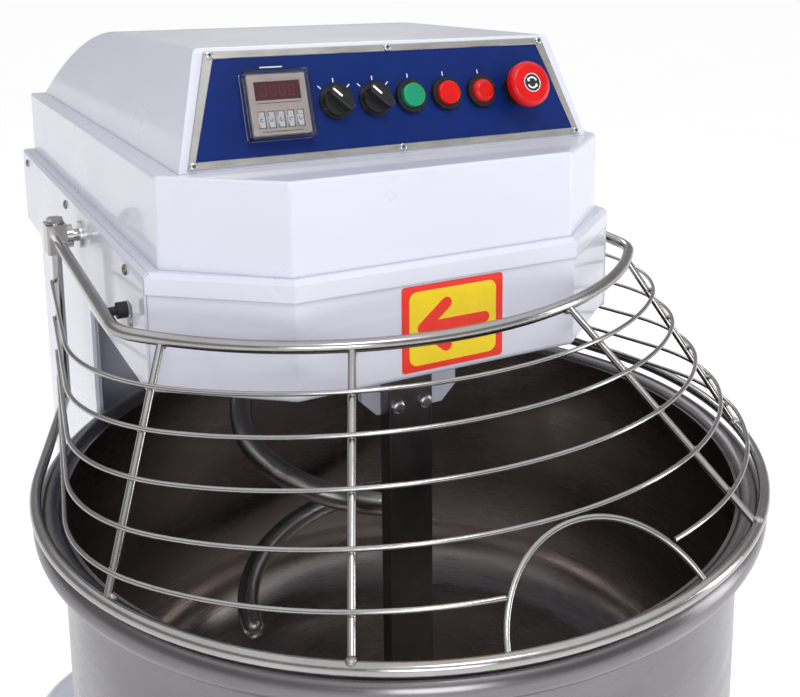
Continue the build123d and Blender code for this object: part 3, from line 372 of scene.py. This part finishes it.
def rubber(name, color):
    """Dull black rubber with a dusty bloom."""
    gum = Surface(name, Specular_IOR_Level=0.3)
    gum.colour(gum.ramp(gum.noise(gum.place, 70.0, 6.0, 0.7), shades(color, 0.5)))
    gum.roughness(gum.spread(gum.noise(gum.place, 120.0, 4.0), 0.62, 0.86))
    gum.bump((gum.noise(gum.place, 800.0, 3.0), 0.3, 0.0002))
    return gum.material


def clear_plastic(name):
    """Thin clear moulded cover with a trace of dust and fine scratches."""
    cover = Surface(name, IOR=1.49, Transmission_Weight=1.0)
    cover.colour(cover.ramp(cover.noise(cover.place, 90.0, 4.0), shades((0.93, 0.94, 0.95), 0.03)))
    cover.roughness(cover.spread(cover.noise(cover.scaled((1, 1, 8)), 200.0, 5.0, 0.7), 0.02, 0.12))
    cover.bump((cover.noise(cover.place, 60.0, 2.0), 0.05, 0.0003))
    return cover.material


WHITE = (0.66, 0.675, 0.775)
MATERIALS = {
    "white_paint": powder_coat("white_powder_coat", WHITE, 0.26, 0.36, 0.5, 0.02),
    "stainless": turned_metal(
        "spun_stainless", (0.20, 0.193, 0.20), bowl_axis, 0.22, 0.32, inside=(0.20, 0.18, 0.174),
        edge=(bowl_high.x - bowl_low.x) / 2 - 0.0225,
    ),
    "polished_wire": bright_metal("polished_wire", (0.38, 0.37, 0.365), 0.13, 0.24),
    "dark_steel": bright_metal("oiled_dark_steel", (0.17, 0.16, 0.16), 0.28, 0.42, (6, 6, 0.4), 0.1, 0.2),
    "zinc": bright_metal("zinc_plated", (0.55, 0.56, 0.58), 0.2, 0.38),
    "machined_iron": cast_iron("machined_iron", (0.26, 0.27, 0.28)),
    "blue_panel": plastic(
        "blue_panel_film", (0.001, 0.016, 0.13), 0.3, 0.42, 700.0, 0.08, Specular_IOR_Level=0.22
    ),
    "panel_border": bright_metal("panel_border_steel", (0.55, 0.54, 0.52), 0.26, 0.42, (0.3, 5, 5), 0.1),
    "beige_plastic": plastic("timer_beige", (0.58, 0.49, 0.46), 0.35, 0.5),
    "display_red": plastic("display_window", (0.09, 0.006, 0.012), 0.08, 0.16),
    "clear_cover": clear_plastic("clear_cover"),
    "black_plastic": plastic("black_nylon", (0.012, 0.012, 0.013), 0.2, 0.38),
    "green_plastic": plastic("start_green", (0.0, 0.26, 0.13), 0.28, 0.42),
    "red_plastic": plastic("signal_red", (0.62, 0.004, 0.004), 0.22, 0.36, Specular_IOR_Level=0.35),
    "yellow_label": plastic("label_red", (0.86, 0.030, 0.015), 0.3, 0.42, 400.0, 0.04),
    "black_rubber": rubber("black_rubber", (0.02, 0.02, 0.021)),
    "belt_rubber": rubber("belt_rubber", (0.03, 0.03, 0.03)),
    "motor_paint": powder_coat("motor_paint", (0.10, 0.13, 0.18), 0.35, 0.5, 0.1),
    "white_nylon": plastic("white_nylon", (0.78, 0.78, 0.75), 0.4, 0.55),
}
LABEL_YELLOW = plastic("label_yellow", (0.90, 0.66, 0.012), 0.28, 0.4, 400.0, 0.04)
PRINT_WHITE = plastic("printed_white", (0.78, 0.80, 0.84), 0.4, 0.55, 1200.0, 0.04)
PRINT_BLACK = plastic("printed_black", (0.012, 0.012, 0.014), 0.35, 0.5, 1200.0, 0.2)
SEGMENT_RED = plastic("unlit_segments", (0.24, 0.012, 0.02), 0.2, 0.3, 1200.0, 0.1)
WELD = bright_metal("weld_bead", (0.42, 0.40, 0.38), 0.3, 0.5, (1, 1, 1), 0.5, 0.3)
# painted shade: the cross recesses in the screw heads are coloured near black
PAINTED_RECESS_SHADE = plastic("screw_recess_painted_shade", (0.03, 0.03, 0.03), 0.4, 0.6, 900.0, 0.2)

slot_of = {part["node"]: part["material_slot"] for part in frame["record"]["subparts"]}
for node, item in NODES.items():
    item.data.materials.clear()
    item.data.materials.append(MATERIALS[slot_of[node]])

hook_steel = turned_metal("hook_stainless", (0.40, 0.385, 0.375), hook_axis, 0.22, 0.38)
NODES["spiral_hook"].data.materials[0] = hook_steel
SCREW_DARK = bright_metal("dark_screw_steel", (0.2, 0.19, 0.19), 0.25, 0.4)
NODES["cover_screws"].data.materials[0] = SCREW_DARK

# ------------------------------------------------------------------ pieces built here


def finish_piece(name, mesh, material, body):
    """Links a mesh as a piece that rides on a body and takes the given material."""
    piece = bpy.data.objects.new(name, mesh)
    bpy.context.scene.collection.objects.link(piece)
    mesh.materials.append(material)
    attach(piece, body)
    return piece


class Relief:
    """Thin raised shapes on one plane, gathered in a single mesh."""

    def __init__(self, origin, right, up):
        self.origin = origin
        self.right = right.normalized()
        self.up = up.normalized()
        self.out = self.right.cross(self.up)
        self.shapes = bmesh.new()

    def point(self, u, v, height):
        return self.origin + self.right * u + self.up * v + self.out * height

    def plate(self, outline, low, high, edge=0.0):
        """A closed plate over an outline, from one height to another, with an eased top edge."""
        centre_u = sum(u for u, _ in outline) / len(outline)
        centre_v = sum(v for _, v in outline) / len(outline)
        reach = max(abs(u - centre_u) + abs(v - centre_v) for u, v in outline)
        eased = [
            (centre_u + (u - centre_u) * (1 - edge / reach), centre_v + (v - centre_v) * (1 - edge / reach))
            for u, v in outline
        ]
        levels = [(outline, low), (outline, high - edge)]
        if edge:
            levels.append((eased, high))
        rows = [
            [self.shapes.verts.new(self.point(u, v, height)) for u, v in shape]
            for shape, height in levels
        ]
        for under, over in zip(rows, rows[1:]):
            for index, corner in enumerate(under):
                after = (index + 1) % len(under)
                self.shapes.faces.new((corner, under[after], over[after], over[index]))
        self.shapes.faces.new(rows[0][::-1])
        self.shapes.faces.new(rows[-1])

    def ring(self, centre, inner_r, outer_r, low, high, start=0.0, sweep=2 * pi, steps=48):
        """A flat ring, or an arc of one."""
        whole = sweep > 2 * pi - 1e-6
        count = steps if whole else steps + 1
        rows = []
        for index in range(count):
            angle = start + sweep * index / steps
            section = [(inner_r, low), (outer_r, low), (outer_r, high), (inner_r, high)]
            rows.append([
                self.shapes.verts.new(
                    self.point(centre[0] + reach * cos(angle), centre[1] + reach * sin(angle), height)
                )
                for reach, height in section
            ])
        pairs = list(zip(rows, rows[1:] + rows[:1])) if whole else list(zip(rows, rows[1:]))
        for here, after in pairs:
            for side in range(4):
                following = (side + 1) % 4
                self.shapes.faces.new((here[side], after[side], after[following], here[following]))
        if not whole:
            self.shapes.faces.new(rows[0])
            self.shapes.faces.new(rows[-1][::-1])

    def piece(self, name, material, body, slot):
        bmesh.ops.recalc_face_normals(self.shapes, faces=self.shapes.faces)
        mesh = bpy.data.meshes.new(name)
        self.shapes.to_mesh(mesh)
        self.shapes.free()
        return finish_piece(name, mesh, material, body)


def rounded_rectangle(width, height, radius, centre=(0.0, 0.0), steps=6):
    """Outline of a rectangle with round corners."""
    outline = []
    for corner, (side_u, side_v) in enumerate(((1, 1), (-1, 1), (-1, -1), (1, -1))):
        middle_u = centre[0] + side_u * (width / 2 - radius)
        middle_v = centre[1] + side_v * (height / 2 - radius)
        for step in range(steps + 1):
            angle = pi / 2 * (corner + step / steps)
            outline.append((middle_u + radius * cos(angle), middle_v + radius * sin(angle)))
    return outline


def stroke(start, end, width, steps=8):
    """Outline of a straight stroke with round ends."""
    base = atan2(end[1] - start[1], end[0] - start[0])
    outline = []
    for middle, first in ((end, base - pi / 2), (start, base + pi / 2)):
        for step in range(steps + 1):
            angle = first + pi * step / steps
            outline.append((middle[0] + width / 2 * cos(angle), middle[1] + width / 2 * sin(angle)))
    return outline


def disc(radius, centre=(0.0, 0.0), steps=40):
    """Outline of a circle."""
    return [
        (centre[0] + radius * cos(2 * pi * step / steps), centre[1] + radius * sin(2 * pi * step / steps))
        for step in range(steps)
    ]


def direction_sign():
    """The yellow field with its red turning arrow, on the red plate of the direction label."""
    low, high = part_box("direction_label")
    width, height = high.x - low.x, high.z - low.z
    origin = Vector(((low.x + high.x) / 2, low.y, (low.z + high.z) / 2))
    field = Relief(origin, Vector((1, 0, 0)), Vector((0, 0, 1)))
    outline = rounded_rectangle(LABEL_FIELD * width, LABEL_FIELD * height, LABEL_CORNER * width)
    field.plate(outline, 0, LABEL_FIELD_HEIGHT)
    field.piece("label_field", LABEL_YELLOW, "machine", "yellow_label")
    arrow = Relief(origin, Vector((1, 0, 0)), Vector((0, 0, 1)))
    tip = (ARROW_TIP * width, 0)
    barb_x, barb_z = ARROW_BARB[0] * width, ARROW_BARB[1] * height
    line = ARROW_LINE * width
    ends = ((ARROW_TAIL * width, 0), (barb_x, barb_z), (barb_x, -barb_z))
    for end, height_above in zip(ends, ARROW_HEIGHTS):
        arrow.plate(stroke(tip, end, line), 0, height_above)
    arrow.piece("label_arrow", MATERIALS["yellow_label"], "machine", "yellow_label")


def timer_details():
    """Seven-segment figures, thumbwheels and trim lines on the timer's face."""
    display, _, _ = panel_extent("timer_display")
    figures = Relief(display, panel_right, panel_up)
    for place in range(FIGURE_COUNT):
        left = (place - (FIGURE_COUNT - 1) / 2) * FIGURE_PITCH
        for row in (-1, 1):
            level = row * FIGURE_BAR_LEVEL
            ends = ((left - FIGURE_BAR_HALF, level), (left + FIGURE_BAR_HALF, level))
            figures.plate(stroke(*ends, FIGURE_LINE, 3), 0, INK)
        for side in (-1, 1):
            for half in (-1, 1):
                post = left + side * FIGURE_POST_SIDE
                ends = ((post, half * FIGURE_POST_LOW), (post, half * FIGURE_POST_HIGH))
                figures.plate(stroke(*ends, FIGURE_LINE, 3), 0, INK)
    figures.piece("timer_figures", SEGMENT_RED, "machine", "display_red")

    body, width, _ = panel_extent("timer_body")
    wheels = Relief(body, panel_right, panel_up)
    marks = Relief(body, panel_right, panel_up)
    for place in range(WHEEL_COUNT):
        left = (place - (WHEEL_COUNT - 1) / 2) * WHEEL_PITCH
        wheel = rounded_rectangle(*WHEEL_SIZE, (left, WHEEL_LEVEL))
        wheels.plate(wheel, WHEEL_ROOT, WHEEL_SUNK, MOULDED_EDGE)
        for rise in KEY_LEVELS:
            key = rounded_rectangle(*KEY_SIZE, (left, rise))
            wheels.plate(key, WHEEL_ROOT, KEY_PROUD, MOULDED_EDGE)
        start = 0.7 * ((place * 3 + 1) % 5)
        top = WHEEL_SUNK + WHEEL_FIGURE_HEIGHT
        band = (*WHEEL_FIGURE_R, WHEEL_SUNK, top)
        marks.ring((left, WHEEL_LEVEL), *band, start, WHEEL_FIGURE_SWEEP, 16)
    for rise, share in TRIM_LINES:
        half = share * width / 2
        marks.plate(stroke((-half, rise), (half, rise), TRIM_WIDTH, 3), 0, INK)
    wheels.piece("timer_wheels", PRINT_WHITE, "machine", "beige_plastic")
    marks.piece("timer_marks", PRINT_BLACK, "machine", "black_plastic")


def selector_pointer(number):
    """The white pointer let into a selector's grip bar, along the bar towards its high end."""
    node = f"selector_knob_{number}"
    top, _, _ = panel_extent(node)
    pointer = Relief(top, panel_right, panel_up)
    heading = (cos(POINTER_ANGLE), sin(POINTER_ANGLE))
    start = tuple(POINTER_START * part for part in heading)
    end = tuple(POINTER_END * part for part in heading)
    pointer.plate(stroke(start, end, POINTER_WIDTH), POINTER_LOW, POINTER_HIGH)
    pointer.piece(f"selector_pointer_{number}", PRINT_WHITE, f"selector_{number}", "black_plastic")


def panel_print():
    """Printed ticks over the controls, in place of wording."""
    plate_face, _, _ = panel_extent("panel_plate")
    print_layer = Relief(plate_face, panel_right, panel_up)
    level = plate_face.dot(panel_up)
    for node, ticks in (
        ("selector_knob_1", (45, 90, 135)),
        ("selector_knob_2", (45, 90, 135)),
        ("start_button", (90,)),
        ("stop_button", (90,)),
        ("power_lamp", (90,)),
    ):
        spot, _, _ = panel_extent(node)
        centre = Vector((spot.x - plate_face.x, spot.dot(panel_up) - level))
        for tick in ticks:
            heading = Vector((cos(radians(tick)), sin(radians(tick))))
            ends = (centre + heading * TICK_INNER_R, centre + heading * TICK_OUTER_R)
            print_layer.plate(stroke(*ends, TICK_WIDTH, 4), 0, PRINT_HEIGHT)
    timer, _, _ = panel_extent("timer_cover")
    over = timer.dot(panel_up) - level + TIMER_DASH_RISE
    middle = timer.x - plate_face.x
    ends = ((middle - TIMER_DASH_HALF, over), (middle + TIMER_DASH_HALF, over))
    print_layer.plate(stroke(*ends, TIMER_DASH_WIDTH, 4), 0, PRINT_HEIGHT)
    print_layer.piece("panel_print", PRINT_WHITE, "machine", "blue_panel")


def stop_head_print():
    """The dark disc with a light ring and two turning arrows on the emergency head."""
    crown, _, _ = panel_extent("emergency_head")
    ground = Relief(crown, panel_right, panel_up)
    ground.plate(disc(STOP_DISC_R), STOP_DISC_LOW, STOP_DISC_HIGH)
    ground.piece("stop_head_disc", PRINT_BLACK, "emergency_head_group", "black_plastic")
    marks = Relief(crown, panel_right, panel_up)
    marks.ring((0, 0), *STOP_RING, STOP_MARK_LOW, STOP_MARK_HIGH)
    for start in (STOP_ARROW_START, STOP_ARROW_START + pi):
        band = (*STOP_ARROW_BAND, STOP_MARK_LOW, STOP_MARK_HIGH)
        marks.ring((0, 0), *band, start, STOP_ARROW_SWEEP, 20)
        head = start + STOP_ARROW_SWEEP
        lead = head + STOP_ARROW_LEAD
        tip = (STOP_ARROW_TIP_R * cos(lead), STOP_ARROW_TIP_R * sin(lead))
        barbs = [(reach * cos(head), reach * sin(head)) for reach in STOP_ARROW_BARB_R]
        marks.plate([tip, *barbs], STOP_MARK_LOW, STOP_MARK_HIGH)
    marks.piece("stop_head_marks", PRINT_WHITE, "emergency_head_group", "black_plastic")


def islands(node, gap=1e-5):
    """The separate solids of a node, as lists of vertex places."""
    shape = bmesh.new()
    shape.from_mesh(NODES[node].data)
    bmesh.ops.remove_doubles(shape, verts=shape.verts, dist=gap)
    left = set(shape.verts)
    groups = []
    while left:
        front = [left.pop()]
        group = list(front)
        while front:
            vertex = front.pop()
            for edge in vertex.link_edges:
                other = edge.other_vert(vertex)
                if other in left:
                    left.remove(other)
                    front.append(other)
                    group.append(other)
        groups.append([vertex.co.copy() for vertex in group])
    shape.free()
    return groups


def cross_recesses(node, name, outward_of, body, arm):
    """A cross recess in the head of each screw of a node, coloured near black as painted shade in its hollow."""
    crosses = bmesh.new()
    for group in islands(node):
        out = outward_of(group)
        reach = max(place.dot(out) for place in group)
        head = [place for place in group if place.dot(out) > reach - HEAD_DEPTH]
        centre = sum(head, Vector()) / len(head)
        side = out.orthogonal().normalized()
        turn = Matrix.Rotation(noise.noise(centre * 900) * pi, 3, out)
        for axis in (turn @ side, turn @ out.cross(side)):
            rest = out.cross(axis)
            corners = []
            for along, across, height in (
                (-1, -1, 0), (1, -1, 0), (1, 1, 0), (-1, 1, 0),
                (-1, -1, 1), (1, -1, 1), (1, 1, 1), (-1, 1, 1),
            ):
                place = centre + axis * along * arm + rest * across * RECESS_SLOT * arm
                place += out * (reach - centre.dot(out) + (RECESS_LIFT if height else -RECESS_DEPTH))
                corners.append(crosses.verts.new(place))
            for face in (
                (3, 2, 1, 0), (4, 5, 6, 7), (0, 1, 5, 4),
                (1, 2, 6, 5), (2, 3, 7, 6), (3, 0, 4, 7),
            ):
                crosses.faces.new([corners[index] for index in face])
    bmesh.ops.recalc_face_normals(crosses, faces=crosses.faces)
    mesh = bpy.data.meshes.new(name)
    crosses.to_mesh(mesh)
    crosses.free()
    return finish_piece(name, mesh, PAINTED_RECESS_SHADE, body)


def side_or_back(group):
    """Which way a cover screw faces: out of the side plates or out of the back."""
    centre = sum(group, Vector()) / len(group)
    if abs(centre.x) < REAR_SCREW_X:
        return Vector((0, 1, 0))
    return Vector((1 if centre.x > 0 else -1, 0, 0))


def surface_tree(node):
    """A node's surface, ready for finding the nearest point on it."""
    mesh = NODES[node].data
    return BVHTree.FromPolygons([v.co for v in mesh.vertices], [p.vertices for p in mesh.polygons])


def crossings(wire_node, bar_node, reach, step=0.0015, apart=0.012):
    """Where the wires of one node pass within reach of another node's surface."""
    tree = surface_tree(bar_node)
    mesh = NODES[wire_node].data
    near = []
    for edge in mesh.edges:
        start, end = (mesh.vertices[index].co for index in edge.vertices)
        count = max(1, int((end - start).length / step))
        for index in range(count + 1):
            place = start.lerp(end, index / count)
            found, normal, _, gap = tree.find_nearest(place, reach)
            if found is not None:
                near.append((gap, place.lerp(found, 0.5), normal.copy()))
    near.sort(key=lambda entry: entry[0])
    spots = []
    for gap, place, normal in near:
        if all((place - other).length > apart for other, _ in spots):
            spots.append((place, normal))
    return spots


def weld_beads(name, spots, size, body, material):
    """Small uneven weld nuggets at given places."""
    beads = bmesh.new()
    for place, normal in spots:
        turn = normal.to_track_quat("Z", "X").to_matrix().to_4x4()
        grown = bmesh.ops.create_icosphere(beads, subdivisions=3, radius=size)
        for vertex in grown["verts"]:
            swell = 1 + WELD_SWELL * noise.noise(vertex.co * 1400 + place * 500)
            vertex.co = vertex.co * Vector(WELD_SHAPE) * swell
        bmesh.ops.transform(beads, matrix=Matrix.Translation(place) @ turn, verts=grown["verts"])
    for face in beads.faces:
        face.smooth = True
    mesh = bpy.data.meshes.new(name)
    beads.to_mesh(mesh)
    beads.free()
    return finish_piece(name, mesh, material, body)


def guard_welds():
    """Weld nuggets where the guard's wires cross its ribs and meet its end bars."""
    spots = []
    for wires in ("guard_wires_upper", "guard_wires_middle", "guard_wire_lowest"):
        spots += crossings(wires, "guard_ribs", RIB_CROSSING_REACH)
        spots += crossings(wires, "guard_ring", RING_CROSSING_REACH, apart=END_WELDS_APART)
    weld_beads("guard_wire_welds", spots, WIRE_WELD_R, "guard", WELD)
    ends = crossings("guard_ribs", "guard_top_tube", RIB_END_REACH, apart=END_WELDS_APART)
    ends += crossings("guard_ribs", "guard_ring", RIB_END_REACH, apart=END_WELDS_APART)
    weld_beads("guard_rib_welds", ends, RIB_WELD_R, "guard", WELD)


direction_sign()
timer_details()
for number in (1, 2):
    selector_pointer(number)
panel_print()
stop_head_print()
guard_welds()
cross_recesses(
    "panel_screws", "panel_screw_recesses", lambda group: panel_normal, "machine", PANEL_RECESS_ARM
)
cross_recesses("cover_screws", "cover_screw_recesses", side_or_back, "machine", COVER_RECESS_ARM)

# ------------------------------------------------------------------ floor, light and camera


def stage_floor():
    """A plain pale floor with a faint glow, large enough to fill the picture."""
    half = 120.0
    corners = [(-half, -half, 0), (half, -half, 0), (half, half, 0), (-half, half, 0)]
    mesh = bpy.data.meshes.new("studio_floor")
    mesh.from_pydata(corners, [], [(0, 1, 2, 3)])
    floor = bpy.data.objects.new("studio_floor", mesh)
    bpy.context.scene.collection.objects.link(floor)
    pale = Surface("pale_floor", Roughness=0.85, Emission_Color=(1, 1, 1, 1), Emission_Strength=0.24)
    pale.colour(pale.ramp(pale.noise(pale.place, 1.5, 3.0), shades((0.92, 0.92, 0.93), 0.01)))
    mesh.materials.append(pale.material)


def softbox(name, place, target, width, height, power):
    """A rectangular area light at a place, turned towards a target; the power is in watts."""
    light = bpy.data.lights.new(name, "AREA")
    light.shape = "RECTANGLE"
    light.size = width
    light.size_y = height
    light.energy = power
    item = bpy.data.objects.new(name, light)
    item.location = place
    item.rotation_euler = (Vector(target) - Vector(place)).to_track_quat("-Z", "Y").to_euler()
    bpy.context.scene.collection.objects.link(item)


def studio():
    """Soft light from four boxes and a sky with a darker band, which gives the metal contrast."""
    world = bpy.data.worlds.new("studio_air")
    world.use_nodes = True
    nodes, links = world.node_tree.nodes, world.node_tree.links
    heading = nodes.new("ShaderNodeTexCoord")
    parts = nodes.new("ShaderNodeSeparateXYZ")
    sky = nodes.new("ShaderNodeValToRGB")
    links.new(heading.outputs["Generated"], parts.inputs[0])
    links.new(parts.outputs["Z"], sky.inputs["Fac"])
    links.new(sky.outputs["Color"], nodes["Background"].inputs["Color"])
    band = sky.color_ramp.elements
    levels = ((0.0, 0.42), (0.24, 0.40), (0.32, 0.30), (0.52, 0.36), (0.66, 1.1), (1.0, 1.05))
    band[0].position, band[-1].position = levels[0][0], levels[-1][0]
    for height, _ in levels[1:-1]:
        band.new(height)
    for spot, (_, level) in zip(band, levels):
        spot.color = (level, level, level, 1)
    nodes["Background"].inputs["Strength"].default_value = 1.0
    bpy.context.scene.world = world
    softbox("key_softbox", (-1.0, -3.0, 1.5), (0, -0.1, 0.9), 1.2, 1.2, 23)
    softbox("side_softbox", (2.7, -1.5, 1.3), (0, -0.1, 0.9), 0.5, 1.8, 20)
    softbox("top_softbox", (-0.05, -1.5, 2.9), (0, -0.2, 0.6), 0.7, 0.5, 13)
    softbox("back_softbox", (1.2, 3.0, 2.9), (0, 0.2, 0.8), 1.2, 0.8, 14)


def photo_camera():
    """The camera at the viewing angle of the reference view."""
    yaw, pitch, roll = radians(28.243), radians(-10.016), radians(0.333)
    data = bpy.data.cameras.new("main_camera")
    data.sensor_width = 36.0
    data.lens = 46.5
    data.shift_x = -0.024
    data.shift_y = -0.245
    data.clip_end = 400.0
    camera = bpy.data.objects.new("main_camera", data)
    camera.location = (-0.3868, -0.9153, 1.2575)
    facing = Euler((pi / 2 + pitch, 0, -yaw), "XYZ").to_matrix()
    camera.rotation_euler = (facing @ Matrix.Rotation(-roll, 3, "Z")).to_euler()
    bpy.context.scene.collection.objects.link(camera)
    bpy.context.scene.camera = camera


stage_floor()
studio()
photo_camera()
bpy.context.scene.view_settings.view_transform = "Standard"
